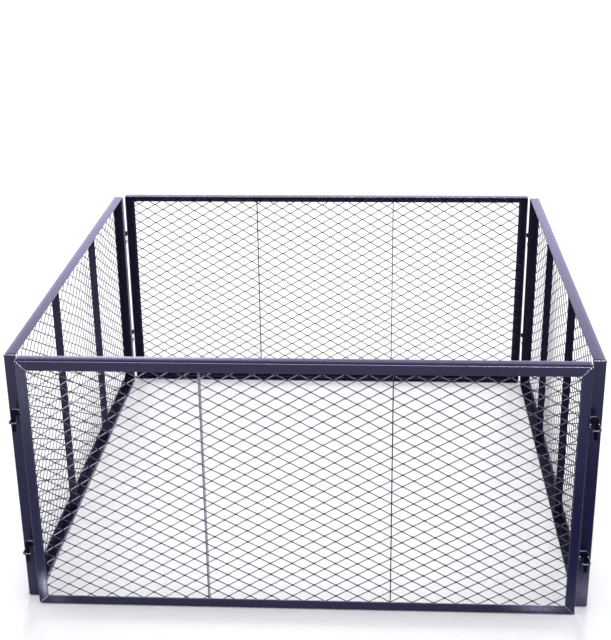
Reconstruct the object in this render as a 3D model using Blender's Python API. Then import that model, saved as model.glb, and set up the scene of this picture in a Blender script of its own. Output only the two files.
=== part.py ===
"""Metal compost bin: four equal panels of mitred steel angle and expanded metal, hooked together at the corners.

The front and back panels carry flat steel hooks, and the two side panels carry round-bar eyes.
Each hook drops into its eye from above, so the front or back panel comes off by lifting it.
Units are metres. X runs from left to right, Y from front to back and Z up from the ground.
"""

import math

import bmesh
import bpy
from mathutils import Vector

# Panels: all four are the same, twice as long as they are high.
PANEL_LENGTH = 1.500
PANEL_HEIGHT = 0.750
# How far a panel's outer face stands out beyond the ends of the two panels next to it.
CORNER_NOTCH = 0.0394

# Steel angle of the frames: the leg lies in the panel's outer face and the rim points into the bin.
ANGLE_LEG = 0.030
ANGLE_RIM = 0.035
ANGLE_THICKNESS = 0.003
ANGLE_BEND = 0.005

# Expanded metal sheet, drawn at a coarser pitch than the real one.
MESH_LONG_PITCH = 0.165
MESH_SHORT_PITCH = 0.092
MESH_STRAND = 0.005
MESH_THICKNESS = 0.002
MESH_EDGE = 0.0075

# Flat stiffener bars that stand edge-on behind the mesh. The front panel's two sit a little to the left.
BAR_COUNT = 2
BAR_THICKNESS = 0.003
BAR_DEPTH = 0.025
BAR_SPACING = 0.508
FRONT_BAR_SHIFT = -0.0134

# Couplings: heights of the eyes above the ground and below the top edge.
EYE_ABOVE_GROUND = 0.161
EYE_BELOW_TOP = 0.185
EYE_ROD = 0.006
EYE_WIDTH = 0.017
EYE_REACH = 0.0386
EYE_BEND = 0.006
HOOK_THICKNESS = 0.005
HOOK_RISE = 0.040
HOOK_ROOT = 0.012
HOOK_THROAT = 0.017
HOOK_TAIL = 0.028
HOOK_TIP = 0.003
HOOK_ROUND = 0.010

# Gap left between pieces that are welded or rest together.
GAP = 0.0003

# Fineness of the curved surfaces.
BEND_STEPS = 4
ROOT_STEPS = 2
CORNER_STEPS = 4


def clear_scene():
    for obj in list(bpy.data.objects):
        bpy.data.objects.remove(obj, do_unlink=True)


def paint(name, color, roughness, metallic):
    """A coat of paint as a Principled BSDF material."""
    material = bpy.data.materials.new(name)
    material.use_nodes = True
    shader = material.node_tree.nodes["Principled BSDF"]
    shader.inputs["Base Color"].default_value = (*color, 1.0)
    shader.inputs["Roughness"].default_value = roughness
    shader.inputs["Metallic"].default_value = metallic
    material.diffuse_color = (*color, 1.0)
    return material


def arc(centre, radius, start, end, steps):
    """Points of an arc in a plane, from the start angle to the end angle in degrees, both ends included."""
    points = []
    for i in range(steps + 1):
        angle = math.radians(start + (end - start) * i / steps)
        points.append((centre[0] + radius * math.cos(angle), centre[1] + radius * math.sin(angle)))
    return points


def mesh_from(name, work, material, smooth_angle=None):
    """Turns a bmesh into mesh data with outward faces."""
    bmesh.ops.recalc_face_normals(work, faces=work.faces)
    data = bpy.data.meshes.new(name)
    work.to_mesh(data)
    work.free()
    data.materials.append(material)
    if smooth_angle is not None:
        data.shade_smooth()
        data.set_sharp_from_angle(angle=math.radians(smooth_angle))
    return data


def place(name, data, parent, location=(0.0, 0.0, 0.0)):
    """Puts one object into the scene under its panel."""
    obj = bpy.data.objects.new(name, data)
    bpy.context.scene.collection.objects.link(obj)
    obj.parent = parent
    obj.location = location
    return obj


def extrude_outline(outline, to_point, direction):
    """Extrudes a flat outline along a direction. to_point turns a pair of outline values into a point."""
    work = bmesh.new()
    face = work.faces.new([work.verts.new(to_point(a, b)) for a, b in outline])
    grown = bmesh.ops.extrude_face_region(work, geom=[face], use_keep_orig=True)
    moved = [item for item in grown["geom"] if isinstance(item, bmesh.types.BMVert)]
    bmesh.ops.translate(work, vec=direction, verts=moved)
    return work


# Frames


def angle_profile():
    """Section of the angle: first value in from the panel's edge, second value inwards from its outer face."""
    inner_bend = ANGLE_BEND - ANGLE_THICKNESS
    outline = [(ANGLE_LEG, 0.0), (ANGLE_LEG, ANGLE_THICKNESS)]
    if inner_bend > 0:
        outline += arc((ANGLE_BEND, ANGLE_BEND), inner_bend, 270, 180, ROOT_STEPS)
    else:
        outline.append((ANGLE_THICKNESS, ANGLE_THICKNESS))
    outline += [(ANGLE_THICKNESS, ANGLE_RIM), (0.0, ANGLE_RIM)]
    outline += arc((ANGLE_BEND, ANGLE_BEND), ANGLE_BEND, 180, 270, BEND_STEPS)
    return outline


def angle_member(name, length, material):
    """A length of angle along X, centred, with both ends mitred. Its edge is at Z = 0 and its outer face at Y = 0."""
    half = length / 2
    mitre_gap = GAP / math.sqrt(2)
    work = extrude_outline(angle_profile(), lambda p, v: Vector((0.0, v, p)), Vector((1.0, 0.0, 0.0)))
    for vert in work.verts:
        reach = half - vert.co.z - mitre_gap
        vert.co.x = reach if vert.co.x > 0.5 else -reach
    return mesh_from(name, work, material, smooth_angle=35)


# Expanded metal


def knot_corners(x, z, strand, slope):
    """The four corners of one knot of the mesh: left, bottom, right and top."""
    reach_x = strand / 2 / math.sin(slope)
    reach_z = strand / 2 / math.cos(slope)
    return [(x - reach_x, z), (x, z - reach_z), (x + reach_x, z), (x, z + reach_z)]


def expanded_metal(name, material):
    """The mesh sheet: a lattice of diamonds cut square through its knots, in the XZ plane with its thickness along Y."""
    width = PANEL_LENGTH - 2 * MESH_EDGE
    height = PANEL_HEIGHT - 2 * MESH_EDGE
    columns = max(1, round(width / MESH_LONG_PITCH))
    rows = max(1, round(height / MESH_SHORT_PITCH))
    slope = math.atan2(height / rows, width / columns)
    edge_x = MESH_STRAND / 2 / math.sin(slope)
    edge_z = MESH_STRAND / 2 / math.cos(slope)
    step_x = (width - 2 * edge_x) / columns / 2
    step_z = (height - 2 * edge_z) / rows / 2
    left = -width / 2 + edge_x
    bottom = MESH_EDGE + edge_z

    work = bmesh.new()
    knots = {}
    for i in range(2 * columns + 1):
        for j in range(2 * rows + 1):
            if (i + j) % 2:
                continue
            corners = knot_corners(left + i * step_x, bottom + j * step_z, MESH_STRAND, slope)
            knots[i, j] = [work.verts.new((x, 0.0, z)) for x, z in corners]
            work.faces.new(knots[i, j])
    for (i, j), (from_left, _, from_right, from_top) in knots.items():
        if (i + 1, j + 1) in knots:
            to_left, to_bottom, _, _ = knots[i + 1, j + 1]
            work.faces.new([from_right, to_bottom, to_left, from_top])
        if (i - 1, j + 1) in knots:
            _, to_bottom, to_right, _ = knots[i - 1, j + 1]
            work.faces.new([from_left, from_top, to_right, to_bottom])
    grown = bmesh.ops.extrude_face_region(work, geom=list(work.faces), use_keep_orig=True)
    moved = [item for item in grown["geom"] if isinstance(item, bmesh.types.BMVert)]
    bmesh.ops.translate(work, vec=Vector((0.0, MESH_THICKNESS, 0.0)), verts=moved)
    return mesh_from(name, work, material)


# Stiffener bars


def mesh_outer_face():
    """Depth of the mesh's outer face behind the panel's outer face."""
    return ANGLE_THICKNESS + GAP


def stiffener_bar(name, material):
    """A flat bar standing edge-on between the two rails, behind the mesh."""
    front = mesh_outer_face() + MESH_THICKNESS + GAP
    back = front + BAR_DEPTH
    low = ANGLE_THICKNESS + GAP
    high = PANEL_HEIGHT - ANGLE_THICKNESS - GAP
    half = BAR_THICKNESS / 2
    outline = [(-half, front), (half, front), (half, back), (-half, back)]
    work = extrude_outline(outline, lambda x, y: Vector((x, y, low)), Vector((0.0, 0.0, high - low)))
    return mesh_from(name, work, material)


# Couplings


def eye_centre():
    """Depth of an eye's middle behind its side panel's outer face: the middle of the flat part of the rim."""
    return (ANGLE_BEND + ANGLE_RIM) / 2


def eye_path(side):
    """Centre line of an eye, from the side panel's end outwards, across and back. side is 1 or -1 along X."""
    spread = (EYE_WIDTH + EYE_ROD) / 2
    near = eye_centre() - spread
    far = eye_centre() + spread
    tip = EYE_REACH - EYE_ROD / 2
    path = [(GAP, near)]
    path += arc((tip - EYE_BEND, near + EYE_BEND), EYE_BEND, -90, 0, CORNER_STEPS)
    path += arc((tip - EYE_BEND, far - EYE_BEND), EYE_BEND, 0, 90, CORNER_STEPS)
    path.append((GAP, far))
    return [(side * x, y) for x, y in path]


def round_bar_eye(name, side, material):
    """A staple of round bar, as a curve with a round bevel and filled ends."""
    data = bpy.data.curves.new(name, "CURVE")
    data.dimensions = "3D"
    data.bevel_depth = EYE_ROD / 2
    data.bevel_resolution = 2
    data.use_fill_caps = True
    path = eye_path(side)
    spline = data.splines.new("POLY")
    spline.points.add(len(path) - 1)
    for point, (x, y) in zip(spline.points, path):
        point.co = (x, y, 0.0, 1.0)
    data.materials.append(material)
    return data


def hook_outline():
    """Side view of a hook: first value out from the upright, second value up from the eye's middle."""
    straight = EYE_WIDTH - 2 * (EYE_BEND - EYE_ROD / 2)
    middle = CORNER_NOTCH - eye_centre()
    inner = middle - straight / 2
    outer = middle + straight / 2
    outline = [(GAP, HOOK_RISE)]
    outline += arc((outer - HOOK_ROUND, HOOK_RISE - HOOK_ROUND), HOOK_ROUND, 90, 0, CORNER_STEPS)
    outline += [(outer, HOOK_TIP - HOOK_TAIL), (outer - HOOK_TIP / 2, -HOOK_TAIL)]
    outline += [(inner + HOOK_TIP / 2, -HOOK_TAIL), (inner, HOOK_TIP - HOOK_TAIL)]
    outline += [(inner, HOOK_THROAT), (GAP, HOOK_RISE - HOOK_ROOT)]
    return outline


def plate_hook(name, side, material):
    """A flat steel hook whose leg hangs just behind the cross bar of its eye. side is 1 or -1 along X."""
    front = CORNER_NOTCH - EYE_REACH + EYE_ROD + GAP
    work = extrude_outline(
        hook_outline(),
        lambda a, z: Vector((side * a, front, z)),
        Vector((0.0, HOOK_THICKNESS, 0.0)),
    )
    return mesh_from(name, work, material)


# Assembly


def panel_origin(name, location, turn):
    """An empty at the foot of a panel's outer face. Its X runs along the panel and its Y into the bin."""
    empty = bpy.data.objects.new(name, None)
    bpy.context.scene.collection.objects.link(empty)
    empty.location = location
    empty.rotation_euler = (0.0, 0.0, math.radians(turn))
    empty.empty_display_size = 0.1
    return empty


def build_panel(name, origin, ends, bar_shift, meshes):
    """The frame, mesh and bars of one panel. ends names its two ends, the one at negative X first."""
    half = PANEL_LENGTH / 2
    place(f"{name}_bottom_rail", meshes["rail"], origin)
    top = place(f"{name}_top_rail", meshes["rail"], origin, (0.0, 0.0, PANEL_HEIGHT))
    top.rotation_euler = (0.0, math.pi, 0.0)
    for end, side in zip(ends, (-1, 1)):
        upright = place(f"{name}_{end}_upright", meshes["upright"], origin, (side * half, 0.0, PANEL_HEIGHT / 2))
        upright.rotation_euler = (0.0, -side * math.pi / 2, 0.0)
    place(f"{name}_mesh", meshes["mesh"], origin, (0.0, mesh_outer_face(), 0.0))
    for i in range(BAR_COUNT):
        x = bar_shift + BAR_SPACING * (i - (BAR_COUNT - 1) / 2)
        end = ends[0] if x < 0 else ends[1]
        place(f"{name}_{end}_bar", meshes["bar"], origin, (x, 0.0, 0.0))


def add_couplings(name, kind, origin, ends, meshes):
    """The four hooks or the four eyes of one panel, two at each end."""
    heights = {"upper": PANEL_HEIGHT - EYE_BELOW_TOP, "lower": EYE_ABOVE_GROUND}
    for end, side in zip(ends, (-1, 1)):
        for level, height in heights.items():
            place(f"{name}_{kind}_{level}_{end}", meshes[kind, side], origin, (side * PANEL_LENGTH / 2, 0.0, height))


def main():
    clear_scene()
    frame_paint = paint("frame_paint", (0.040, 0.040, 0.075), 0.42, 0.30)
    mesh_paint = paint("mesh_paint", (0.045, 0.045, 0.070), 0.50, 0.30)
    bar_paint = paint("bar_paint", (0.036, 0.036, 0.066), 0.45, 0.30)
    hook_paint = paint("hook_paint", (0.038, 0.038, 0.070), 0.40, 0.30)
    eye_paint = paint("eye_paint", (0.050, 0.050, 0.085), 0.38, 0.30)

    meshes = {
        "rail": angle_member("rail", PANEL_LENGTH, frame_paint),
        "upright": angle_member("upright", PANEL_HEIGHT, frame_paint),
        "mesh": expanded_metal("expanded_metal", mesh_paint),
        "bar": stiffener_bar("bar", bar_paint),
    }
    for side in (-1, 1):
        meshes["hook", side] = plate_hook("hook", side, hook_paint)
        meshes["eye", side] = round_bar_eye("eye", side, eye_paint)

    out = PANEL_LENGTH / 2 + CORNER_NOTCH
    panels = {
        "front": ((0.0, -out, 0.0), 0, ("left", "right"), "hook"),
        "back": ((0.0, out, 0.0), 180, ("right", "left"), "hook"),
        "left": ((-out, 0.0, 0.0), -90, ("rear", "front"), "eye"),
        "right": ((out, 0.0, 0.0), 90, ("front", "rear"), "eye"),
    }
    for name, (location, turn, ends, kind) in panels.items():
        origin = panel_origin(f"{name}_panel", location, turn)
        build_panel(name, origin, ends, FRONT_BAR_SHIFT if name == "front" else 0.0, meshes)
        add_couplings(name, kind, origin, ends, meshes)


main()
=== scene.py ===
"""Looks of the metal compost bin: powder-coated steel angle, expanded metal, hooks and eyes on a pale floor.

Units are metres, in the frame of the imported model: X to the right, Y to the back, Z up from the floor.
Each panel is drawn in its own axes: x along the panel, y inwards from its outer face, z up.
"""

import math

import bmesh
import bpy
from mathutils import Matrix, Vector, noise


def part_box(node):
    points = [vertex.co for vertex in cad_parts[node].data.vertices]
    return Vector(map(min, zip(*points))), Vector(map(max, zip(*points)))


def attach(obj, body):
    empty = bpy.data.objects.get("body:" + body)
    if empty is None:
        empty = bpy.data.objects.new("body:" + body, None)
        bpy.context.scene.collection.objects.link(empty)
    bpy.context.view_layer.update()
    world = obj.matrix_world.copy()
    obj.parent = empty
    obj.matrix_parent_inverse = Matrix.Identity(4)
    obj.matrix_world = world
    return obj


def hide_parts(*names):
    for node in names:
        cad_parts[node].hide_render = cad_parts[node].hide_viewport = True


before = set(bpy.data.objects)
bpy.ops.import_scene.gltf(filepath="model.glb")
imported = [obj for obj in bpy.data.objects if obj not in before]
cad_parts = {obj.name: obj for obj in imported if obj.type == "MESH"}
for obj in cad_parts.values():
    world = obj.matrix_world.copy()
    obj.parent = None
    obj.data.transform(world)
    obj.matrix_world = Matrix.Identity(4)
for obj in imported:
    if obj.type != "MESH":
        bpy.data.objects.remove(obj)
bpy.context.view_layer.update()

# Sizes read from the frame.
corner_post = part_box("front_right_upright")
front_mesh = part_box("front_mesh")
front_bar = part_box("front_left_bar")
HALF_LENGTH = corner_post[1].x
LEG = corner_post[1].x - corner_post[0].x
RIM = corner_post[1].y - corner_post[0].y
OUT = -corner_post[0].y
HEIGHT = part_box("front_top_rail")[1].z
MESH_FRONT = front_mesh[0].y + OUT
MESH_EDGE = front_mesh[0].z
BAR_FRONT = front_bar[0].y + OUT
BAR_BACK = front_bar[1].y + OUT
BAR_THICKNESS = front_bar[1].x - front_bar[0].x

# Each panel: turn about Z, body, names of its ends from negative x on, and what it carries.
PANELS = {
    "front": (0, "front_panel", ("left", "right"), "hook"),
    "back": (180, "back_panel", ("right", "left"), "hook"),
    "left": (-90, "side_panels", ("rear", "front"), "eye"),
    "right": (90, "side_panels", ("front", "rear"), "eye"),
}


# Helpers


def panel_matrix(name):
    """From a panel's own axes to the frame."""
    turn = math.radians(PANELS[name][0])
    return Matrix.Rotation(turn, 4, "Z") @ Matrix.Translation((0.0, -OUT, 0.0))


def rough(point, size):
    """Smooth noise between about -1 and 1, with features of the given size."""
    return noise.noise(Vector(point) / size)


def add_piece(name, work, material, body, nodes=(), sharp=35):
    """Makes a bmesh into a piece that rides on a body, takes a slot's finish and stands for CAD nodes.

    material may be a tuple, in the order of the faces' material numbers."""
    bmesh.ops.recalc_face_normals(work, faces=work.faces)
    data = bpy.data.meshes.new(name)
    work.to_mesh(data)
    work.free()
    for each in material if isinstance(material, tuple) else (material,):
        data.materials.append(each)
    data.shade_smooth()
    data.set_sharp_from_angle(angle=math.radians(sharp))
    obj = bpy.data.objects.new(name, data)
    bpy.context.scene.collection.objects.link(obj)
    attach(obj, body)
    if nodes:
        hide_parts(*nodes)


def bridge(work, rings, closed=False):
    """Joins rings of as many vertices each with quads, and caps both ends unless they close in a loop."""
    count = len(rings[0])
    pairs = list(zip(rings, rings[1:]))
    if closed:
        pairs.append((rings[-1], rings[0]))
    for a, b in pairs:
        for i in range(count):
            j = (i + 1) % count
            work.faces.new((a[i], a[j], b[j], b[i]))
    if not closed:
        work.faces.new(rings[0])
        work.faces.new(rings[-1])


def arc(centre, radius, start, end, steps):
    """Points of an arc from one angle to another in degrees, both ends included."""
    points = []
    for i in range(steps + 1):
        angle = math.radians(start + (end - start) * i / steps)
        points.append((centre[0] + radius * math.cos(angle), centre[1] + radius * math.sin(angle)))
    return points


def heading(path, i):
    """Direction of a path at its point i, from the point before it to the one after."""
    before = Vector(path[max(i - 1, 0)])
    after = Vector(path[min(i + 1, len(path) - 1)])
    return (after - before).normalized()


# Materials

# Powder coat: scales of its noises, the bands of a noise that are used, and the depth of the orange peel with
# the mottle's share in it.
CLOUD_SCALE = 9.0
MOTTLE_SCALE = 130.0
PEEL_SCALE = 420.0
SCUFF_SCALE = 900.0
MIDDLE_BAND = (0.3, 0.7)
WIDE_BAND = (0.25, 0.75)
HIGH_BAND = (0.45, 0.80)
PEEL_DEPTH = 0.0004
MOTTLE_RELIEF = 0.6

# Targets of a band that fades in or out.
FADE_IN = (0.0, 1.0)
FADE_OUT = (1.0, 0.0)

# Where wear thins the coat and where it bares the metal, how ragged that is, and how metallic and how much
# smoother it gets.
THIN_BAND = (0.15, 0.60)
THIN_SHARE = 0.40
BARE_BAND = (0.62, 0.80)
RAGGED = 0.30
BARE_METALLIC = 0.6
BARE_SMOOTHER = 0.06

# Paler spots of the coat: gain, lift and share. Then the least share of a painted highlight patch.
SPOT_GAIN = 1.25
SPOT_LIFT = 0.003
SPOT_SHARE = 0.35
LEAST_PAINTED_GLARE = 0.55

# How far the roughness of a coat varies down and up.
SMOOTHER = 0.03
ROUGHER = 0.05

THIN_COLOR = (0.10, 0.095, 0.17)
BARE_COLOR = (0.38, 0.36, 0.48)
# Colour of the painted highlights, which stand for bright reflections in the glossy coat.
PAINTED_GLARE_COLOR = (0.52, 0.50, 0.68)

# Floor.
FLOOR_COLORS = ((0.94, 0.94, 0.95), (0.955, 0.955, 0.96))
FLOOR_CLOUD_SCALE = 0.8
FLOOR_ROUGHNESS = 0.8

# The dark flag: where it starts and ends ahead of the bin, and its share at the left and at the right.
FLAG_START = (0.05, 0.22)
FLAG_END = (0.70, 1.60)
FLAG_SHARE = (0.50, 1.00)
FLAG_COLOR = (0.04, 0.04, 0.06)


def nodes_of(material):
    """The node tree of a new material and its shader."""
    material.use_nodes = True
    tree = material.node_tree
    return tree, tree.nodes["Principled BSDF"]


def feed(tree, socket, value):
    """Gives a socket a number, a colour or the output of another node."""
    if isinstance(value, bpy.types.NodeSocket):
        tree.links.new(value, socket)
    elif isinstance(value, tuple):
        socket.default_value = (*value, 1.0)
    else:
        socket.default_value = value


def noise_node(tree, place, scale, detail=2.0, roughness=0.5):
    """Noise of a scale per metre."""
    node = tree.nodes.new("ShaderNodeTexNoise")
    feed(tree, node.inputs["Scale"], scale)
    feed(tree, node.inputs["Detail"], detail)
    feed(tree, node.inputs["Roughness"], roughness)
    feed(tree, node.inputs["Vector"], place)
    return node.outputs["Fac"]


def attribute(tree, name):
    """The value of a vertex layer, which is 0 on a piece that lacks it."""
    node = tree.nodes.new("ShaderNodeAttribute")
    node.attribute_name = name
    return node.outputs["Fac"]


def spread(tree, value, band, target=FADE_IN):
    """Maps a band of values to a target range, with the ends held."""
    node = tree.nodes.new("ShaderNodeMapRange")
    feed(tree, node.inputs["Value"], value)
    feed(tree, node.inputs["From Min"], band[0])
    feed(tree, node.inputs["From Max"], band[1])
    feed(tree, node.inputs["To Min"], target[0])
    feed(tree, node.inputs["To Max"], target[1])
    return node.outputs["Result"]


def combine(tree, kind, first, *others):
    """Adds, subtracts or multiplies values, one after the other."""
    for other in others:
        node = tree.nodes.new("ShaderNodeMath")
        node.operation = kind
        feed(tree, node.inputs[0], first)
        feed(tree, node.inputs[1], other)
        first = node.outputs["Value"]
    return first


def mix_color(tree, share, a, b):
    """Goes from colour a to colour b with the share."""
    node = tree.nodes.new("ShaderNodeMix")
    node.data_type = "RGBA"
    feed(tree, node.inputs["Factor"], share)
    feed(tree, node.inputs["A"], a)
    feed(tree, node.inputs["B"], b)
    return node.outputs["Result"]


def coat(name, color, deep, roughness, ior=1.40, peel=0.05):
    """Powder coat over steel: mottled colour and orange peel. The attribute wear thins it and then bares the
    metal, and the attribute painted_glare lightens it with painted highlights."""
    material = bpy.data.materials.new(name)
    tree, shader = nodes_of(material)
    place = tree.nodes.new("ShaderNodeTexCoord").outputs["Object"]
    cloud = noise_node(tree, place, CLOUD_SCALE, 3.0)
    mottle = noise_node(tree, place, MOTTLE_SCALE, 3.0, 0.6)
    peel_noise = noise_node(tree, place, PEEL_SCALE)
    scuff = noise_node(tree, place, SCUFF_SCALE, 4.0, 0.7)
    wear = attribute(tree, "wear")
    painted_glare = attribute(tree, "painted_glare")

    lighter = tuple(c * SPOT_GAIN + SPOT_LIFT for c in color)
    patch = combine(tree, "MULTIPLY", painted_glare, spread(tree, mottle, WIDE_BAND, (LEAST_PAINTED_GLARE, 1.0)))
    rubbed = combine(tree, "ADD", wear, spread(tree, scuff, MIDDLE_BAND, (-RAGGED, RAGGED)))
    bare = spread(tree, rubbed, BARE_BAND)
    base = mix_color(tree, spread(tree, cloud, MIDDLE_BAND), deep, color)
    base = mix_color(tree, spread(tree, mottle, HIGH_BAND, (0.0, SPOT_SHARE)), base, lighter)
    base = mix_color(tree, spread(tree, wear, THIN_BAND, (0.0, THIN_SHARE)), base, THIN_COLOR)
    # Painted highlights: pale patches where the glossy coat would show a bright reflection.
    base = mix_color(tree, patch, base, PAINTED_GLARE_COLOR)
    base = mix_color(tree, bare, base, BARE_COLOR)
    feed(tree, shader.inputs["Base Color"], base)
    feed(tree, shader.inputs["Metallic"], combine(tree, "MULTIPLY", bare, BARE_METALLIC))

    uneven = spread(tree, mottle, WIDE_BAND, (roughness - SMOOTHER, roughness + ROUGHER))
    smoother = combine(tree, "MULTIPLY", bare, BARE_SMOOTHER)
    feed(tree, shader.inputs["Roughness"], combine(tree, "SUBTRACT", uneven, smoother))
    shader.inputs["IOR"].default_value = ior

    bump = tree.nodes.new("ShaderNodeBump")
    bump.inputs["Strength"].default_value = peel
    bump.inputs["Distance"].default_value = PEEL_DEPTH
    relief = combine(tree, "ADD", peel_noise, combine(tree, "MULTIPLY", mottle, MOTTLE_RELIEF))
    feed(tree, bump.inputs["Height"], relief)
    feed(tree, shader.inputs["Normal"], bump.outputs["Normal"])
    return material


def floor_material():
    """Plain pale floor. In gloss it has a dark flag ahead of the bin, which shades the lower uprights."""
    material = bpy.data.materials.new("studio_floor")
    tree, shader = nodes_of(material)
    place = tree.nodes.new("ShaderNodeTexCoord").outputs["Object"]
    cloud = noise_node(tree, place, FLOOR_CLOUD_SCALE)
    split = tree.nodes.new("ShaderNodeSeparateXYZ")
    feed(tree, split.inputs["Vector"], place)
    ahead = combine(tree, "MULTIPLY", split.outputs["Y"], -1.0)
    near = spread(tree, ahead, (OUT + FLAG_START[0], OUT + FLAG_START[1]))
    far = spread(tree, ahead, (OUT + FLAG_END[0], OUT + FLAG_END[1]), FADE_OUT)
    across = spread(tree, split.outputs["X"], (-HALF_LENGTH, HALF_LENGTH), FLAG_SHARE)
    gloss = tree.nodes.new("ShaderNodeLightPath").outputs["Is Glossy Ray"]
    flag = combine(tree, "MULTIPLY", near, far, across, gloss)
    base = mix_color(tree, spread(tree, cloud, MIDDLE_BAND), *FLOOR_COLORS)
    feed(tree, shader.inputs["Base Color"], mix_color(tree, flag, base, FLAG_COLOR))
    shader.inputs["Roughness"].default_value = FLOOR_ROUGHNESS
    shader.inputs["Specular IOR Level"].default_value = 0.0
    return material


# Coats: colour, deeper colour and roughness. The lit and shaded ones stand for light that the studio lacks.
FRAME_COAT = coat("frame_coat", (0.009, 0.010, 0.048), (0.007, 0.008, 0.038), 0.24)
# Painted shade: a darker, duller copy of the frame's coat for the faces inside the bin, the right panel's rim
# toes and the undersides of the bottom rails.
INNER_SHADE_COAT = coat("inner_shade_coat", (0.008, 0.006, 0.024), (0.005, 0.004, 0.016), 0.36, ior=1.20)
# Painted highlight: a pale coat for the lines of light along the toes, the left panel's rim and the hooks'
# tops.
TOE_HIGHLIGHT_COAT = coat("toe_highlight_coat", (0.25, 0.21, 0.31), (0.15, 0.13, 0.20), 0.20, ior=1.60)
MESH_COAT = coat("mesh_coat", (0.014, 0.012, 0.026), (0.008, 0.007, 0.018), 0.24, ior=1.50)
LIT_MESH_COAT = coat("lit_mesh_coat", (0.032, 0.030, 0.042), (0.022, 0.020, 0.030), 0.24, ior=1.45)
SHADED_MESH_COAT = coat("shaded_mesh_coat", (0.008, 0.007, 0.014), (0.005, 0.004, 0.010), 0.28, ior=1.36)
# Painted shade: a darker, duller coat for the knots of the sheets.
KNOT_SHADE_COAT = coat("knot_shade_coat", (0.006, 0.006, 0.012), (0.003, 0.003, 0.008), 0.36, ior=1.20)
BAR_COAT = coat("bar_coat", (0.008, 0.008, 0.030), (0.005, 0.005, 0.022), 0.16, ior=1.36, peel=0.03)
# Painted shade on the right panel's bars and painted light on the left panel's bars.
SHADED_BAR_COAT = coat("shaded_bar_coat", (0.007, 0.005, 0.026), (0.005, 0.004, 0.019), 0.30, ior=1.22)
LIT_BAR_COAT = coat("lit_bar_coat", (0.030, 0.026, 0.058), (0.024, 0.020, 0.048), 0.30, ior=1.22)
# Painted highlight: a pale coat for the front edge of the leaning bar.
EDGE_HIGHLIGHT_COAT = coat("edge_highlight_coat", (0.25, 0.19, 0.31), (0.19, 0.15, 0.24), 0.30, ior=1.36, peel=0.03)
# Painted shade: the hooks' coat is nearly black and reflects little, darker than the frame's coat.
HOOK_SHADE_COAT = coat("hook_shade_coat", (0.002, 0.002, 0.010), (0.001, 0.001, 0.006), 0.22, ior=1.15)
EYE_COAT = coat("eye_coat", (0.008, 0.009, 0.030), (0.006, 0.007, 0.022), 0.26, ior=1.42)
WELD_COAT = coat("weld_coat", (0.009, 0.010, 0.048), (0.006, 0.007, 0.034), 0.12, ior=1.75, peel=0.20)
BAR_COATS = {"front": BAR_COAT, "back": BAR_COAT, "left": LIT_BAR_COAT, "right": SHADED_BAR_COAT}


# Frames

# Steel angle, drawn with its fine radii. The paint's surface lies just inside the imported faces.
SKIN = 0.0003
STEEL = 0.003
BEND = 0.005
ROOT = 0.0016
CAMBER_REACH = 0.013
CAMBER_RADIUS = 0.085
TOE = 0.0007
CORNER_ROUND = 0.0065
BEND_STEPS = 8
CAMBER_STEPS = 6
TOE_STEPS = 3
ROOT_STEPS = 4

# Extra points on the flat stretches of the angle's section: on the outer face of the leg, before the bend, on
# the outer face of the rim, before the rim's toe, and on the inner faces of the rim and the leg.
LEG_POINTS = (0.022, 0.014)
BEND_LEAD = 0.002
RIM_POINT = 0.028
RIM_TOE_LEAD = 0.0020
INNER_RIM_POINT = 0.018
INNER_LEG_POINT = 0.016

# Stops along half a member, each with a ring of the section: the ones near its mitred end, and about how far
# apart the ones after them are.
MITRE_STOPS = (0.0, 0.0008, 0.0018, 0.003, 0.0045, 0.007, 0.011, 0.018, 0.024, 0.030, 0.038, 0.048, 0.060)
STOP_SPACING = 0.032

# How uneven a member's outer face is: a slow sway and a fine ripple, each with its length and its place in
# the noise.
SWAY = 0.00020
SWAY_LENGTH = 0.22
UPRIGHT_SEED = 3.0
RAIL_SEED = 9.0
RIPPLE = 0.00012
RIPPLE_LENGTH = 0.05
RIPPLE_SEED = (7, 3, 1)

# Wear of a member's toes, its bend and its faces, and how far the first two reach.
TOE_WEAR = 0.40
BEND_WEAR = 0.30
FACE_WEAR = 0.05
TOE_WEAR_REACH = 0.0012
BEND_WEAR_REACH = 0.0025

# Material numbers of a member, and how far they reach: the toes, the rim of the left panel, which catches the
# light, the underside of a bottom rail, and the share of the steel from which a face counts as an inner one.
# The toes and the left panel's rim take a pale coat, which paints highlight lines; the inner faces, the right
# panel's rim toes and the undersides of the bottom rails take a dark, dull coat, which paints shade.
FACE_PAINT = 0
INNER_SHADE_PAINT = 1
TOE_HIGHLIGHT_PAINT = 2
TOE_REACH = 0.0009
LIT_RIM_REACH = 0.0060
UNDERSIDE_REACH = 0.0045
INNER_SHARE = 0.6

# Painted highlights, pale patches that stand for bright reflections in the glossy coat: panel, member, place
# along x and z, spread along x and z, and share.
PAINTED_GLARE_PATCHES = (
    ("front", "start", -0.738, 0.068, 0.012, 0.026, 0.24),
    ("front", "start", -0.7275, 0.058, 0.0075, 0.030, 1.00),
    ("front", "start", -0.735, 0.690, 0.030, 0.130, 0.085),
    ("front", "bottom", 0.650, 0.020, 0.055, 0.010, 0.44),
    ("front", "bottom", -0.700, 0.020, 0.030, 0.020, 0.10),
    ("right", "start", -0.750, 0.055, 0.030, 0.050, 0.20),
    ("front", "top", -0.400, 0.750, 0.260, 0.004, 0.80),
)

# How far behind the outer face the painted highlight on a top rim starts.
RIM_PAINTED_GLARE_FROM = 0.024


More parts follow.
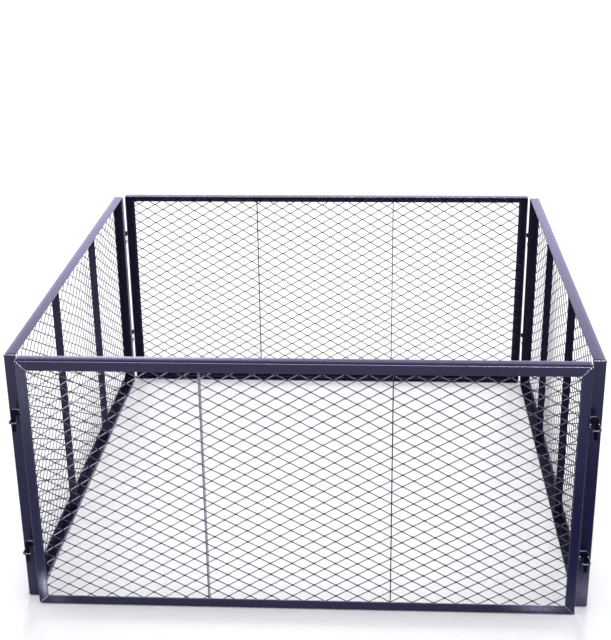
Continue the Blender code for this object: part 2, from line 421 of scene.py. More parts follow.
def angle_outline():
    """Section of the angle, once round: (distance in from the panel's edge, depth behind its outer face)."""
    near = SKIN
    inner = STEEL - SKIN
    leg = LEG - SKIN
    rim = RIM - SKIN
    slope = CAMBER_REACH / CAMBER_RADIUS
    drop = CAMBER_REACH**2 / (2 * CAMBER_RADIUS)
    outline = [(point, near) for point in LEG_POINTS]
    outline += [(BEND + near + BEND_LEAD, near)]
    outline += arc((BEND + near + drop, BEND + near), BEND, 270, 180 + math.degrees(slope), BEND_STEPS)
    turned = outline[-1][1]
    for i in range(1, CAMBER_STEPS + 1):
        left = CAMBER_REACH * (1 - i / CAMBER_STEPS)
        outline.append((near + left**2 / (2 * CAMBER_RADIUS), turned + CAMBER_REACH - left))
    outline += [(near, RIM_POINT)]
    outline += arc((near + TOE, rim - TOE), TOE, 180, 90, TOE_STEPS)
    outline += arc((inner - TOE, rim - TOE), TOE, 90, 0, TOE_STEPS)
    outline += [(inner, rim - RIM_TOE_LEAD), (inner, rim - LIT_RIM_REACH), (inner, INNER_RIM_POINT)]
    outline += arc((inner + ROOT, inner + ROOT), ROOT, 180, 270, ROOT_STEPS)
    outline += [(INNER_LEG_POINT, inner)]
    outline += arc((leg - TOE, inner - TOE), TOE, 90, 0, TOE_STEPS)
    outline += arc((leg - TOE, near + TOE), TOE, 0, -90, TOE_STEPS)
    return outline


def round_corner(x, z):
    """Draws the square corners of a panel's frame round, with the steel's thickness kept."""
    centre_x = HALF_LENGTH - CORNER_ROUND
    centre_z = HEIGHT / 2 - CORNER_ROUND
    dx = abs(x) - centre_x
    dz = abs(z - HEIGHT / 2) - centre_z
    if dx <= 0 or dz <= 0:
        return x, z
    stretch = max(dx, dz) / math.hypot(dx, dz)
    return (
        math.copysign(centre_x + dx * stretch, x),
        HEIGHT / 2 + math.copysign(centre_z + dz * stretch, z - HEIGHT / 2),
    )


def member_stops(half):
    """Stops along half a member, measured from its mitred end: close together there, then evenly spaced."""
    rest = half - LEG - MITRE_STOPS[-1]
    count = max(1, round(rest / STOP_SPACING))
    return list(MITRE_STOPS) + [MITRE_STOPS[-1] + rest * (i + 1) / count for i in range(count)]


def member_place(side, along, inset):
    """Where a point lies that is along a member from its middle and inset from the panel's edge."""
    if side == "bottom":
        return along, inset
    if side == "top":
        return along, HEIGHT - inset
    if side == "start":
        return inset - HALF_LENGTH, HEIGHT / 2 + along
    return HALF_LENGTH - inset, HEIGHT / 2 + along


def from_edge(local):
    """How far in from the nearest edge of its panel a point lies."""
    return min(HALF_LENGTH - abs(local.x), local.z, HEIGHT - local.z)


def member_wear(local):
    """How worn a member is at a point: most at its toes and along its bend."""
    edge = from_edge(local)
    if edge > LEG - TOE_WEAR_REACH or local.y > RIM - TOE_WEAR_REACH:
        return TOE_WEAR
    if edge < BEND_WEAR_REACH and local.y < BEND_WEAR_REACH:
        return BEND_WEAR
    return FACE_WEAR


def painted_glare_at(panel, side, local):
    """How much painted highlight a member has at a point: a few pale patches, on a top rim only behind its
    bright line.
    """
    if side == "top" and local.y < RIM_PAINTED_GLARE_FROM:
        return 0.0
    total = 0.0
    for where, member, x, z, wide, high, share in PAINTED_GLARE_PATCHES:
        if (where, member) == (panel, side) and local.y < RIM:
            away = ((local.x - x) / wide) ** 2 + ((local.z - z) / high) ** 2
            total += share * math.exp(-away)
    return min(total, 1.0)


def member_paint(panel, side, local):
    """The material number of a member's face with its middle at a point. Toe paint is a painted highlight,
    inner paint is painted shade.
    """
    edge = from_edge(local)
    inside = edge > STEEL * INNER_SHARE and local.y > STEEL * INNER_SHARE
    lit_rim = panel == "left" and inside and local.y > RIM - LIT_RIM_REACH
    rim_toe = local.y > RIM - TOE_REACH
    leg_toe = side == "bottom" and edge > LEG - TOE_REACH
    underside = side == "bottom" and edge < UNDERSIDE_REACH and local.y < BEND
    if lit_rim or leg_toe or (rim_toe and panel != "right"):
        return TOE_HIGHLIGHT_PAINT
    if inside or rim_toe or underside:
        return INNER_SHADE_PAINT
    return FACE_PAINT


def frame_member(name, panel, side, body, nodes):
    """One mitred length of angle. side is bottom, top, start or finish, the last two at the panel's ends."""
    matrix = panel_matrix(panel)
    upright = side in ("start", "finish")
    half = HEIGHT / 2 if upright else HALF_LENGTH
    seed = UPRIGHT_SEED if upright else RAIL_SEED
    outline = angle_outline()
    stops = member_stops(half)
    work = bmesh.new()
    rings = []
    for direction in (-1, 1):
        for stop in stops if direction < 0 else stops[-2::-1]:
            ring = []
            for p, q in outline:
                # The mitre plane stands p in from the end, and the stops close up evenly to the middle.
                along = direction * (half - p) * (1 - stop / (half - LEG))
                x, z = round_corner(*member_place(side, along, p))
                ripple_at = (x + RIPPLE_SEED[0], q + RIPPLE_SEED[1], z + RIPPLE_SEED[2])
                sway = SWAY * abs(rough((along, seed, len(name)), SWAY_LENGTH))
                ripple = RIPPLE * abs(rough(ripple_at, RIPPLE_LENGTH))
                point = Vector((x, q + (sway + ripple if q < RIM / 2 else 0.0), z))
                ring.append(work.verts.new(matrix @ point))
            rings.append(ring)
    bridge(work, rings)
    wear = work.verts.layers.float.new("wear")
    painted_glare = work.verts.layers.float.new("painted_glare")
    inverse = matrix.inverted()
    for vert in work.verts:
        local = inverse @ vert.co
        vert[wear] = member_wear(local)
        vert[painted_glare] = painted_glare_at(panel, side, local)
    for face in work.faces:
        face.material_index = member_paint(panel, side, inverse @ face.calc_center_median())
    add_piece(name, work, (FRAME_COAT, INNER_SHADE_COAT, TOE_HIGHLIGHT_COAT), body, nodes)


# Expanded metal

# Expanded metal at its true pitch. BOND is the share of a strand's step that is level at each knot.
STRAND_WIDTH = 0.0026
STRAND_THICKNESS = 0.0016
STRAND_TILT = math.radians(30)
BOND = 0.095
STRAND_RISE = STRAND_WIDTH / 2 * math.cos(STRAND_TILT)
STRAND_DEPTH = STRAND_WIDTH / 2 * math.sin(STRAND_TILT)
SHEET_MIDDLE = MESH_FRONT + 2 * STRAND_DEPTH + STRAND_THICKNESS / 2 * math.cos(STRAND_TILT)

# How many rows and columns are laid out beyond the panel's size, before the sheet is cut at its edges.
SPARE_PITCHES = 4

# Corners of a strand's section, in half widths and half thicknesses.
STRAND_CORNERS = ((-1, -1), (1, -1), (1, 1), (-1, 1))

# Material numbers of a strand, and the slope below which it counts as level. On the front sheet the rising
# strands take the lit coat and the falling ones the shaded coat, painted light and shade; on every sheet the
# level knots take a darker, duller coat, painted shade.
RISING_PAINT = 0
LEVEL_PAINT = 1
FALLING_PAINT = 2
LEVEL_SLOPE = 0.25

# How each sheet lies, as it was stretched: the place of one knot and the pitches, then how the rows slant,
# bow and sag and the columns lean, in metres per pitch or per pitch squared. All pairs are along x, then z.
SHEETS = {
    "front": {"knot": (0.05824, 0.30364), "pitch": (0.06028, 0.03467), "slant": (-0.00020, 0.00086),
              "twist": (0.000027, -0.000012), "bow": (0.000012, -0.000134), "sag": -0.000013},
    "back": {"knot": (-0.01839, 0.40741), "pitch": (0.06018, 0.03534), "slant": (-0.00013, 0.00111),
             "twist": (0.000036, -0.000011), "bow": (-0.000025, 0.000054), "sag": 0.000026},
    "left": {"knot": (0.02250, 0.36540), "pitch": (0.06600, 0.03480), "slant": (0.00010, 0.00055),
             "twist": (0.000010, 0.000010), "bow": (0.000010, -0.000060), "sag": 0.000010},
    "right": {"knot": (-0.01600, 0.37710), "pitch": (0.07000, 0.03480), "slant": (-0.00010, -0.00050),
              "twist": (-0.000010, 0.000010), "bow": (0.000250, -0.000080), "sag": 0.000010},
}

# How far each sheet bellies in: between its bars, and in its end bays, where the side sheets belly out.
SLACK = {"front": 0.0012, "back": 0.0012, "left": 0.0125, "right": 0.0088}
END_SLACK = {"front": 0.0012, "back": 0.0012, "left": -0.0029, "right": -0.0029}


def knot_place(sheet, u, v):
    """Where the lattice point (u, v), counted in pitches from the named knot, lies on the sheet."""
    slant, twist, bow = sheet["slant"], sheet["twist"], sheet["bow"]
    x = sheet["knot"][0] + sheet["pitch"][0] * u + slant[0] * v + twist[0] * u * v + bow[0] * u * u
    z = sheet["knot"][1] + sheet["pitch"][1] * v + slant[1] * u + twist[1] * u * v + bow[1] * u * u
    return x, z + sheet["sag"] * v * v


def ramp(t):
    """Height of a strand between two bonds, from 0 to 1: level at the bonds and straight between them."""
    return min(max((t - BOND) / (1 - 2 * BOND), 0.0), 1.0)


def bulge(panel, x, z):
    """How far a sheet bellies in between its frame and bars."""
    up = math.sin(math.pi * min(max((z - LEG) / (HEIGHT - 2 * LEG), 0.0), 1.0))
    third = HALF_LENGTH / 3
    if abs(x) < third:
        return SLACK[panel] * math.cos(math.pi / 2 * x / third) * math.sqrt(up)
    along = min((abs(x) - third) / (HALF_LENGTH - third - LEG), 1.0)
    return END_SLACK[panel] * math.sin(math.pi * along) * up


def strand_point(panel, j, k, t):
    """Where row j of the strands is at the share t of its step k. Rows and steps are half pitches."""
    sheet = SHEETS[panel]
    u = (k + t) / 2
    share = ramp(t) if (k - j) % 2 == 0 else 1 - ramp(t)
    x, z_low = knot_place(sheet, u, j / 2)
    _, z_high = knot_place(sheet, u, (j + 1) / 2)
    z = (z_low + STRAND_RISE) * (1 - share) + (z_high - STRAND_RISE) * share
    return x, SHEET_MIDDLE + bulge(panel, x, z) + STRAND_DEPTH * (1 - 2 * share), z


def strand_run(work, centres, falling_paint):
    """A tilted flat ribbon through the centre points, if there are two or more, capped at both ends. Its
    falling strands take the material number given."""
    if len(centres) < 2:
        return
    rings = []
    depth = Vector((0.0, 1.0, 0.0))
    for i, centre in enumerate(centres):
        ahead = centres[min(i + 1, len(centres) - 1)]
        behind = centres[max(i - 1, 0)]
        along = Vector((ahead[0] - behind[0], 0.0, ahead[2] - behind[2])).normalized()
        up = Vector((-along.z, 0.0, along.x))
        wide = (up * math.cos(STRAND_TILT) + depth * math.sin(STRAND_TILT)) * (STRAND_WIDTH / 2)
        thick = (depth * math.cos(STRAND_TILT) - up * math.sin(STRAND_TILT)) * (STRAND_THICKNESS / 2)
        rings.append([work.verts.new(Vector(centre) + wide * a + thick * b) for a, b in STRAND_CORNERS])
    before = len(work.faces)
    bridge(work, rings)
    work.faces.ensure_lookup_table()
    for i in range(len(rings) - 1):
        rise = (centres[i + 1][2] - centres[i][2]) / abs(centres[i + 1][0] - centres[i][0])
        paint = LEVEL_PAINT if abs(rise) < LEVEL_SLOPE else (falling_paint if rise < 0 else RISING_PAINT)
        first = before + 4 * i
        for face in work.faces[first:first + 4]:
            face.material_index = paint


def expanded_sheet(panel):
    """One sheet: zigzag ribbons, each bonded to the next at the knots, and cut off at the sheet's edges."""
    pitch = SHEETS[panel]["pitch"]
    rows = 2 * (int(HEIGHT / pitch[1]) + SPARE_PITCHES)
    steps = 2 * (int(2 * HALF_LENGTH / pitch[0]) + SPARE_PITCHES)
    falling_paint = FALLING_PAINT if panel == "front" else RISING_PAINT
    work = bmesh.new()
    for j in range(-rows, rows):
        run = []
        for k in range(-steps, steps):
            for t in (BOND, 1 - BOND):
                x, y, z = strand_point(panel, j, k, t)
                if abs(x) < HALF_LENGTH - MESH_EDGE and MESH_EDGE < z < HEIGHT - MESH_EDGE:
                    run.append((x, y, z))
                else:
                    strand_run(work, run, falling_paint)
                    run = []
        strand_run(work, run, falling_paint)
    bmesh.ops.transform(work, matrix=panel_matrix(panel), verts=work.verts)
    coats = (LIT_MESH_COAT if panel == "front" else MESH_COAT, KNOT_SHADE_COAT, SHADED_MESH_COAT)
    body = PANELS[panel][1]
    add_piece(f"{panel}_expanded_metal", work, coats, body, (f"{panel}_mesh",), sharp=50)


# Bars

# Bars: the radius of their edges, how far beside it the flats have a point, and their slow sway with its
# length and its place in the noise.
BAR_SOFT = 0.0005
BAR_SOFT_STEPS = 3
BAR_LEAD = 0.0008
BAR_STEPS = 22
BAR_SWAY = 0.0006
BAR_SWAY_LENGTH = 0.4
BAR_SEED = (1.0, 5.0)

# Material number of the front edge of a bar that leans, whose pale coat is a painted highlight.
BAR_EDGE_HIGHLIGHT_PAINT = 1

# A bar's front edge stands this share of a strand's thickness behind the strands' own depth.
SHEET_SHARE = 0.8

# How far a bar leans along its panel for its depth, where it was welded a little askew.
BAR_TWIST = {"front_left_bar": 0.050}


def bar_outline(front):
    """Section of a bar about its middle, once round, with soft edges: (along the panel, depth)."""
    half = BAR_THICKNESS / 2
    outline = []
    for x, y, start in ((half, front, -90), (half, BAR_BACK, 0), (-half, BAR_BACK, 90), (-half, front, 180)):
        inwards = 1 if y == front else -1
        centre = (x - math.copysign(BAR_SOFT, x), y + inwards * BAR_SOFT)
        corner = arc(centre, BAR_SOFT, start, start + 90, BAR_SOFT_STEPS)
        leads_out = (x > 0) == (y == front)
        beside = corner[-1] if leads_out else corner[0]
        point = (beside[0], beside[1] + inwards * BAR_LEAD)
        outline += corner + [point] if leads_out else [point] + corner
    return outline


def stiffener(name, node, panel, body):
    """A flat bar on edge with softened corners, standing where its CAD node stands."""
    low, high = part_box(node)
    matrix = panel_matrix(panel)
    inverse = matrix.inverted()
    centre = ((inverse @ low).x + (inverse @ high).x) / 2
    front = max(BAR_FRONT, MESH_FRONT + 4 * STRAND_DEPTH + STRAND_THICKNESS * SHEET_SHARE)
    outline = bar_outline(front)
    bottom = STEEL + SKIN
    top = HEIGHT - STEEL - SKIN
    lean = BAR_TWIST.get(node, 0.0)
    work = bmesh.new()
    rings = []
    for i in range(BAR_STEPS + 1):
        z = bottom + (top - bottom) * i / BAR_STEPS
        sway = BAR_SWAY * math.sin(math.pi * i / BAR_STEPS) * rough((centre, *BAR_SEED), BAR_SWAY_LENGTH)
        rings.append([work.verts.new((centre + x + sway + lean * (y - front), y, z)) for x, y in outline])
    bridge(work, rings)
    for face in work.faces:
        if node in BAR_TWIST and face.calc_center_median().y < front + BAR_SOFT:
            face.material_index = BAR_EDGE_HIGHLIGHT_PAINT
    bmesh.ops.transform(work, matrix=matrix, verts=work.verts)
    add_piece(name, work, (BAR_COATS[panel], EDGE_HIGHLIGHT_COAT), body, (node,))


# Couplings

# Eyes: the radius of their turns, the share of a leg at which it has a ring, and the cross bar's steps.
EYE_TURN = 0.006
EYE_TURN_STEPS = 8
EYE_LEG_SHARE = 0.35
EYE_CROSS_STEPS = 4
EYE_SIDES = 20

# How uneven an eye is, with the size of that and how its place is spread in the noise.
EYE_SWELL = 0.02
EYE_SWELL_LENGTH = 0.6
EYE_SWELL_SPREAD = 9

# Wear of an eye: all over, more along its top, where the cross bar starts, and what the legs get of it. The
# pale top is partly rubbing by the hook and partly a painted highlight.
EYE_WEAR = 0.10
EYE_TOP_WEAR_AND_SHEEN = 0.52
EYE_CROSS_FROM = 0.9
EYE_LEG_WEAR_SHARE = 0.25

# Fillet welds of the eyes: reach, height, bite into the bar, ease of both toes with the shares of the height
# that they come to, and unevenness.
FILLET_REACH = 0.0019
FILLET_HEIGHT = 0.0021
FILLET_BITE = 0.0004
FILLET_EASE = 0.0006
FILLET_LOW = 0.35
FILLET_HIGH = 0.8
FILLET_SIDES = 28
FILLET_LUMP = 0.22
FILLET_LUMP_LENGTH = 0.9
FILLET_RING_SPREAD = 3
FILLET_PLACE_SPREAD = 40

# Hooks: how the solid is cleaned up, the ease of its edges and how far down its pale top reaches, which is a
# painted highlight.
SAME_PLACE = 0.00001
FLAT_ANGLE = math.radians(2)
EDGE_ANGLE = math.radians(40)
HOOK_EASE = 0.0006
HOOK_TOP_REACH = 0.0011
HOOK_TOP_HIGHLIGHT_PAINT = 1

# The root welds of a hook: how far in from its root and down from its top they start, the spacing and count
# of their points, and their size.
ROOT_WELD_IN = 0.0006
ROOT_WELD_DOWN = 0.0012
ROOT_WELD_SPACING = 0.0012
ROOT_WELD_POINTS = 9
ROOT_WELD_RADIUS = 0.0016
ROOT_WELD_LUMP = 0.35


def staple_path(first, second, foot, tip, outward):
    """Centre line of a staple with legs at x first and second, from one foot round to the other."""
    turn = [math.pi / 2 * i / EYE_TURN_STEPS for i in range(EYE_TURN_STEPS + 1)]
    leg_ring = foot + (tip - foot) * EYE_LEG_SHARE
    path = [(first, foot), (first, leg_ring)]
    for angle in turn:
        x = first + EYE_TURN - EYE_TURN * math.cos(angle)
        path.append((x, tip - outward * EYE_TURN * (1 - math.sin(angle))))
    for i in range(1, EYE_CROSS_STEPS):
        path.append((first + EYE_TURN + (second - first - 2 * EYE_TURN) * i / EYE_CROSS_STEPS, tip))
    for angle in turn:
        x = second - EYE_TURN + EYE_TURN * math.sin(angle)
        path.append((x, tip - outward * EYE_TURN * (1 - math.cos(angle))))
    return path + [(second, leg_ring), (second, foot)]


def eye(name, body):
    """A staple of round bar, pale along the top of its cross bar from wear and a painted highlight, with a
    fillet weld round each foot.
    """
    low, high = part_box(name)
    radius = (high.z - low.z) / 2 - SKIN / 2
    z = (low.z + high.z) / 2
    outward = math.copysign(1.0, low.y)
    foot = outward * (min(abs(low.y), abs(high.y)) + SKIN)
    tip = outward * (max(abs(low.y), abs(high.y)) - SKIN - radius)
    first = low.x + SKIN + radius
    second = high.x - SKIN - radius
    path = staple_path(first, second, foot, tip, outward)
    work = bmesh.new()
    layer = work.verts.layers.float.new("wear")
    rings = []
    for i, (x, y) in enumerate(path):
        along = heading(path, i)
        side = Vector((-along.y, along.x, 0.0))
        on_cross_bar = abs(y - foot) / abs(tip - foot) > EYE_CROSS_FROM
        top_wear_and_sheen = EYE_TOP_WEAR_AND_SHEEN * (1.0 if on_cross_bar else EYE_LEG_WEAR_SHARE)
        ring = []
        for k in range(EYE_SIDES):
            angle = 2 * math.pi * k / EYE_SIDES
            uneven = rough((x * EYE_SWELL_SPREAD, y * EYE_SWELL_SPREAD, angle), EYE_SWELL_LENGTH)
            way = side * math.cos(angle) + Vector((0.0, 0.0, 1.0)) * math.sin(angle)
            vert = work.verts.new(Vector((x, y, z)) + way * radius * min(1 + EYE_SWELL * uneven, 1.0))
            vert[layer] = EYE_WEAR + top_wear_and_sheen * max(math.sin(angle), 0.0) ** 2
            ring.append(vert)
        rings.append(ring)
    bridge(work, rings)
    add_piece(f"{name}_rod", work, EYE_COAT, body, (name,))
    for side, x in (("first", first), ("second", second)):
        fillet_ring(f"{name}_{side}_weld", (x, foot - outward * SKIN * 0.5, z), outward, radius, body)


def fillet_ring(name, centre, outward, radius, body):
    """A rough fillet weld round the foot of a round bar that stands out along Y."""
    work = bmesh.new()
    rings = []
    for k in range(FILLET_SIDES):
        angle = 2 * math.pi * k / FILLET_SIDES
        noise_x = math.cos(angle) * FILLET_RING_SPREAD + centre[0] * FILLET_PLACE_SPREAD
        noise_z = math.sin(angle) * FILLET_RING_SPREAD + centre[2] * FILLET_PLACE_SPREAD
        lump = 1 + FILLET_LUMP * rough((noise_x, noise_z, centre[1]), FILLET_LUMP_LENGTH)
        reach = radius + FILLET_REACH * lump
        height = FILLET_HEIGHT * lump
        section = (
            (radius - FILLET_BITE, 0.0),
            (reach, 0.0),
            (reach - FILLET_EASE, height * FILLET_LOW),
            (radius + FILLET_EASE, height * FILLET_HIGH),
            (radius - FILLET_BITE, height),
        )
        ring = []
        for r, h in section:
            x = centre[0] + r * math.cos(angle)
            z = centre[2] + r * math.sin(angle)
            ring.append(work.verts.new((x, centre[1] + outward * h, z)))
        rings.append(ring)
    bridge(work, rings, closed=True)
    add_piece(name, work, WELD_COAT, body, sharp=60)


def hook(name, body):
    """A flat hook with eased edges, pale along its top as a painted highlight, and its root welds on both
    faces.
    """
    low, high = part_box(name)
    work = bmesh.new()
    work.from_mesh(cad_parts[name].data)
    bmesh.ops.remove_doubles(work, verts=work.verts, dist=SAME_PLACE)
    bmesh.ops.dissolve_limit(work, angle_limit=FLAT_ANGLE, verts=work.verts, edges=work.edges)
    edges = [e for e in work.edges if len(e.link_faces) == 2 and e.calc_face_angle(0.0) > EDGE_ANGLE]
    bmesh.ops.bevel(
        work,
        geom=edges,
        offset=HOOK_EASE,
        offset_type="OFFSET",
        segments=2,
        profile=0.5,
        affect="EDGES",
        clamp_overlap=True,
    )
    for face in work.faces:
        if high.z - face.calc_center_median().z < HOOK_TOP_REACH:
            face.material_index = HOOK_TOP_HIGHLIGHT_PAINT
    add_piece(f"{name}_plate", work, (HOOK_SHADE_COAT, TOE_HIGHLIGHT_COAT), body, (name,), sharp=30)
    root = low.x if abs(low.x) < abs(high.x) else high.x
    x = root + math.copysign(ROOT_WELD_IN, root)
    top = high.z - ROOT_WELD_DOWN
    for face, y in (("near", low.y), ("far", high.y)):
        points = [(x, y, top - i * ROOT_WELD_SPACING) for i in range(ROOT_WELD_POINTS)]
        rope(f"{name}_{face}_weld", points, ROOT_WELD_RADIUS, ROOT_WELD_LUMP, body)


# Welds

# Weld beads drawn as ropes. No bead runs along the askew direction.
ROPE_SIDES = 10
ROPE_END = 0.45
ROPE_LUMP_LENGTH = 0.0022
ASKEW = (0.37, 0.81, 0.45)

# Weld drops: their width, length and height for their radius, how each is turned to the last, and how lumpy.
DROP_SHAPE = (1.0, 0.85, 0.42)
DROP_TURN = 1.3
DROP_LUMP = 0.18
DROP_LUMP_LENGTH = 0.0016
DROP_SEED_LENGTH = 0.8

# Drops across a mitre: count, size and its spread, stray, how proud they lie, where the row starts and ends,
# and their places in the noise.
MITRE_DROPS = 15
MITRE_DROP_SIZE = 0.0015
MITRE_DROP_SPREAD = 0.0006
MITRE_DROP_STRAY = 0.0007
MITRE_DROP_PROUD = 0.0001
MITRE_START = CORNER_ROUND * 0.6
MITRE_END_GAP = 0.0022
MITRE_SIZE_SEED = (2.3, 4.0)
MITRE_STRAY_SEED = (1.7, 2.0)

# Drops along a corner's edge: count, size and its spread, how far in they lie, where the row ends, and their
# place in the noise.
CORNER_DROPS = 12
CORNER_DROP_SIZE = 0.0019
CORNER_DROP_SPREAD = 0.0005
CORNER_INSET = CORNER_ROUND * 0.32
CORNER_END_GAP = 0.003
CORNER_SIZE_SEED = (1.9, 5.0)

# Wear of a weld drop whose paint came off, whose pale bare metal partly paints a glint, and of one that kept
# it.
BARE_GLINT_DROP = 0.95
PAINTED_DROP = 0.05


def rope(name, points, radius, lump, body):
    """A weld bead through the given points: a rope of uneven thickness with tapered ends."""
    work = bmesh.new()
    rings = []
    for i, point in enumerate(points):
        along = heading(points, i)
        side = along.cross(Vector(ASKEW)).normalized()
        other = along.cross(side)
        taper = min(1.0, ROPE_END + (1 - ROPE_END) * min(i, len(points) - 1 - i))
        ring = []
        for k in range(ROPE_SIDES):
            angle = 2 * math.pi * k / ROPE_SIDES
            out = side * math.cos(angle) + other * math.sin(angle)
            swell = 1 - lump * (0.5 + 0.5 * rough(Vector(point) + out * radius, ROPE_LUMP_LENGTH))
            ring.append(work.verts.new(Vector(point) + out * radius * taper * swell))
        rings.append(ring)
    bridge(work, rings)
    add_piece(name, work, WELD_COAT, body, sharp=60)


def droplets(name, spots, body):
    """Weld beads: flattened drops that overlap, each given by its centre, flat direction, radius and wear."""
    work = bmesh.new()
    layer = work.verts.layers.float.new("wear")
    for i, (centre, flat, radius, wear) in enumerate(spots):
        turn = Vector((0.0, 0.0, 1.0)).rotation_difference(Vector(flat)).to_matrix().to_4x4()
        size = Matrix.Diagonal((*(radius * share for share in DROP_SHAPE), 1.0))
        matrix = Matrix.Translation(centre) @ turn @ Matrix.Rotation(i * DROP_TURN, 4, "Z") @ size
        made = bmesh.ops.create_icosphere(work, subdivisions=2, radius=1.0, matrix=matrix)
        for vert in made["verts"]:
            vert.co += (vert.co - Vector(centre)) * DROP_LUMP * rough(vert.co, DROP_LUMP_LENGTH)
            vert[layer] = wear
    add_piece(name, work, WELD_COAT, body, sharp=80)


def mitre_weld(panel, corner, sx, sz, body):
    """The weld across the face of a mitred corner, dressed down to low drops."""
    matrix = panel_matrix(panel)
    middle = HEIGHT / 2
    outward = matrix.to_3x3() @ Vector((0.0, -1.0, 0.0))
    length = LEG - MITRE_END_GAP - MITRE_START
    size_seed = (sz * MITRE_SIZE_SEED[1], len(panel) + sx)
    stray_seed = (sx * MITRE_STRAY_SEED[1], len(panel) + sz)
    spots = []
    for i in range(MITRE_DROPS):
        along = MITRE_START + length * i / (MITRE_DROPS - 1)
        stray = MITRE_DROP_STRAY * rough((i * MITRE_STRAY_SEED[0], *stray_seed), DROP_SEED_LENGTH)
        uneven = MITRE_DROP_SPREAD * rough((i * MITRE_SIZE_SEED[0], *size_seed), DROP_SEED_LENGTH)
        x = sx * (HALF_LENGTH - along + stray)
        z = middle + sz * (middle - along - stray)
        # These bare drops partly paint glints.
        # The front's upper corners lost the paint of every other drop, its lower left one of every fourth.
        bare = panel == "front" and (i % 2 == 0 if sz > 0 else (sx < 0 and i % 4 == 1))
        centre = matrix @ Vector((x, SKIN + MITRE_DROP_PROUD, z))
        spots.append((centre, outward, MITRE_DROP_SIZE + uneven, BARE_GLINT_DROP if bare else PAINTED_DROP))
    droplets(f"{panel}_{corner}_mitre_weld", spots, body)


def corner_weld(panel, corner, sx, sz, body):
    """The bead of drops round the edge of a mitred corner."""
    matrix = panel_matrix(panel)
    middle = HEIGHT / 2
    outward = matrix.to_3x3() @ Vector((sx, 0.0, sz)).normalized()
    x = sx * (HALF_LENGTH - CORNER_INSET)
    z = middle + sz * (middle - CORNER_INSET)
    seed = (sx + CORNER_SIZE_SEED[1], len(panel) * sz)
    spots = []
    for i in range(CORNER_DROPS):
        y = BEND + (RIM - BEND - CORNER_END_GAP) * i / (CORNER_DROPS - 1)
        uneven = CORNER_DROP_SPREAD * rough((i * CORNER_SIZE_SEED[0], *seed), DROP_SEED_LENGTH)
        # Two in three drops of the front's upper corner beads are bare, which partly paints glints.
        bare = panel == "front" and sz > 0 and i % 3 < 2
        centre = matrix @ Vector((x, y, z))
        spots.append((centre, outward, CORNER_DROP_SIZE + uneven, BARE_GLINT_DROP if bare else PAINTED_DROP))
    droplets(f"{panel}_{corner}_corner_weld", spots, body)


# Studio

# Half the size of the floor.
FLOOR_SIZE = 40.0

# Lights of the world. The gloss lights fade in or out over bands of a direction's own X, Y or Z.
DOME_LIGHT = 1.05
DOME_COLOR = (0.98, 0.98, 1.0)
GLOSS_DOME = 0.35
WALL_LIGHT = 2.3
WALL_COLOR = (0.95, 0.82, 1.22)
WALL_REAR = (0.45, 0.80)
WALL_TOP = (0.30, 0.50)
AHEAD = (-0.40, -0.30)
AHEAD_COLOR = (0.94, 0.92, 1.06)
LOW_FROM = (0.15, 0.25)
HIGH_FROM = (0.66, 0.72)
LEFT_END = (-0.75, -0.33)
RIGHT_START = (0.10, 0.15)
FRONT_LIGHT = 1.1
LEFT_LIGHT = 16.0
STRIP_LIGHT = 26.0
RIGHT_LIGHT = 44.0

# Far lamps behind the bin: their azimuths from straight behind, then what they share.
REAR_LAMPS = {"rear_left_lamp": -9.3, "rear_right_lamp": 9.6}
LAMP_ELEVATION = 21.0
LAMP_SIZE = 12.0
LAMP_STRENGTH = 1.45
LAMP_COLOR = (1.0, 0.98, 1.0)

# Camera, fitted to the corners of the four frames.
CAMERA_AT = (0.1948, -3.7669, 2.0524)
CAMERA_TURN = -3.447
CAMERA_DIP = 21.612
CAMERA_ROLL = -0.772
FOCAL_PIXELS = 1263.1
PICTURE_PIXELS = 640
SENSOR = 36.0


def studio_floor():
    """The pale floor that the bin stands on."""
    work = bmesh.new()
    bmesh.ops.create_grid(work, x_segments=1, y_segments=1, size=FLOOR_SIZE)
    data = bpy.data.meshes.new("floor")
    work.to_mesh(data)
    work.free()
    data.materials.append(floor_material())
    floor = bpy.data.objects.new("floor", data)
    bpy.context.scene.collection.objects.link(floor)


def rear_light(name, azimuth):
    """A far lamp behind the bin, at an azimuth from straight behind. Gloss doesn't show it."""
    a = math.radians(azimuth)
    e = math.radians(LAMP_ELEVATION)
    away = Vector((math.sin(a) * math.cos(e), math.cos(a) * math.cos(e), math.sin(e)))
    data = bpy.data.lights.new(name, "SUN")
    data.angle = math.radians(LAMP_SIZE)
    data.energy = LAMP_STRENGTH
    data.color = LAMP_COLOR
    lamp = bpy.data.objects.new(name, data)
    lamp.rotation_mode = "QUATERNION"
    lamp.rotation_quaternion = (-away).to_track_quat("-Z", "Y")
    lamp.visible_glossy = False
    bpy.context.scene.collection.objects.link(lamp)


def background(tree, color, strength):
    """Light of a colour and a strength from all round."""
    node = tree.nodes.new("ShaderNodeBackground")
    feed(tree, node.inputs["Color"], color)
    feed(tree, node.inputs["Strength"], strength)
    return node.outputs["Background"]


def choose(tree, share, a, b):
    """Goes from light a to light b with the share."""
    node = tree.nodes.new("ShaderNodeMixShader")
    feed(tree, node.inputs[0], share)
    feed(tree, node.inputs[1], a)
    feed(tree, node.inputs[2], b)
    return node.outputs["Shader"]


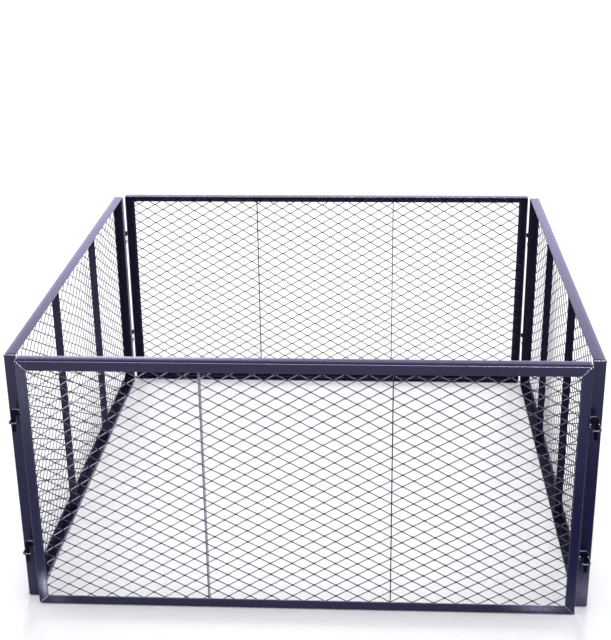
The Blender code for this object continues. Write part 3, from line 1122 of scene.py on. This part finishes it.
def gloss_ahead(tree, x, y, z):
    """Strength of the softbox ahead in gloss: brighter on the left and high up, and most of all high on the
    right."""
    ahead = spread(tree, y, AHEAD, FADE_OUT)
    low = combine(tree, "MULTIPLY", ahead, spread(tree, z, LOW_FROM))
    high = combine(tree, "MULTIPLY", ahead, spread(tree, z, HIGH_FROM))
    left = spread(tree, x, LEFT_END, FADE_OUT)
    right = spread(tree, x, RIGHT_START)
    front_light = combine(tree, "MULTIPLY", low, FRONT_LIGHT)
    left_light = combine(tree, "MULTIPLY", low, left, LEFT_LIGHT)
    strip_light = combine(tree, "MULTIPLY", high, STRIP_LIGHT)
    right_light = combine(tree, "MULTIPLY", high, right, RIGHT_LIGHT)
    return combine(tree, "ADD", front_light, left_light, strip_light, right_light, GLOSS_DOME)


def studio_world():
    """White to the camera and an even dome as a light. In gloss it also shows a low lilac wall behind the bin
    and a softbox ahead."""
    world = bpy.data.worlds.new("studio")
    world.use_nodes = True
    tree = world.node_tree
    tree.nodes.clear()
    split = tree.nodes.new("ShaderNodeSeparateXYZ")
    feed(tree, split.inputs["Vector"], tree.nodes.new("ShaderNodeTexCoord").outputs["Generated"])
    x, y, z = split.outputs["X"], split.outputs["Y"], split.outputs["Z"]
    behind = spread(tree, y, WALL_REAR)
    wall = combine(tree, "MULTIPLY", behind, spread(tree, z, WALL_TOP, FADE_OUT), WALL_LIGHT)
    gloss = tree.nodes.new("ShaderNodeAddShader")
    feed(tree, gloss.inputs[0], background(tree, AHEAD_COLOR, gloss_ahead(tree, x, y, z)))
    feed(tree, gloss.inputs[1], background(tree, WALL_COLOR, wall))
    path = tree.nodes.new("ShaderNodeLightPath")
    even = background(tree, DOME_COLOR, DOME_LIGHT)
    light = choose(tree, path.outputs["Is Glossy Ray"], even, gloss.outputs["Shader"])
    white = background(tree, (1.0, 1.0, 1.0), 1.0)
    out = tree.nodes.new("ShaderNodeOutputWorld")
    feed(tree, out.inputs["Surface"], choose(tree, path.outputs["Is Camera Ray"], light, white))
    bpy.context.scene.world = world


def studio_camera():
    """The camera at the photograph's viewing angle."""
    yaw = math.radians(CAMERA_TURN)
    dip = math.radians(CAMERA_DIP)
    roll = math.radians(CAMERA_ROLL)
    forward = Vector((math.sin(yaw) * math.cos(dip), math.cos(yaw) * math.cos(dip), -math.sin(dip)))
    level = Vector((math.cos(yaw), -math.sin(yaw), 0.0))
    above = level.cross(forward)
    right = level * math.cos(roll) + above * math.sin(roll)
    up = above * math.cos(roll) - level * math.sin(roll)
    data = bpy.data.cameras.new("camera")
    data.sensor_width = SENSOR
    data.lens = FOCAL_PIXELS / PICTURE_PIXELS * SENSOR
    camera = bpy.data.objects.new("camera", data)
    bpy.context.scene.collection.objects.link(camera)
    camera.matrix_world = Matrix(
        (
            (right.x, up.x, -forward.x, CAMERA_AT[0]),
            (right.y, up.y, -forward.y, CAMERA_AT[1]),
            (right.z, up.z, -forward.z, CAMERA_AT[2]),
            (0.0, 0.0, 0.0, 1.0),
        )
    )
    bpy.context.scene.camera = camera


# Assembly

# Corners of a panel, with their signs along x and z.
CORNERS = (("low_start", -1, -1), ("low_finish", 1, -1), ("high_start", -1, 1), ("high_finish", 1, 1))


def build_panel(panel):
    """A panel with its frame, bars, couplings, welds and sheet."""
    _, body, ends, kind = PANELS[panel]
    frame_member(f"{panel}_bottom_rail_angle", panel, "bottom", body, (f"{panel}_bottom_rail",))
    frame_member(f"{panel}_top_rail_angle", panel, "top", body, (f"{panel}_top_rail",))
    for end, side in zip(ends, ("start", "finish")):
        frame_member(f"{panel}_{end}_upright_angle", panel, side, body, (f"{panel}_{end}_upright",))
        stiffener(f"{panel}_{end}_flat_bar", f"{panel}_{end}_bar", panel, body)
        for level in ("upper", "lower"):
            name = f"{panel}_{kind}_{level}_{end}"
            if kind == "eye":
                eye(name, body)
            else:
                hook(name, body)
    for corner, sx, sz in CORNERS:
        mitre_weld(panel, corner, sx, sz, body)
        corner_weld(panel, corner, sx, sz, body)
    expanded_sheet(panel)


for panel_name in PANELS:
    build_panel(panel_name)

studio_floor()
studio_world()
for lamp_name, lamp_azimuth in REAR_LAMPS.items():
    rear_light(lamp_name, lamp_azimuth)
studio_camera()
bpy.context.scene.view_settings.view_transform = "Standard"
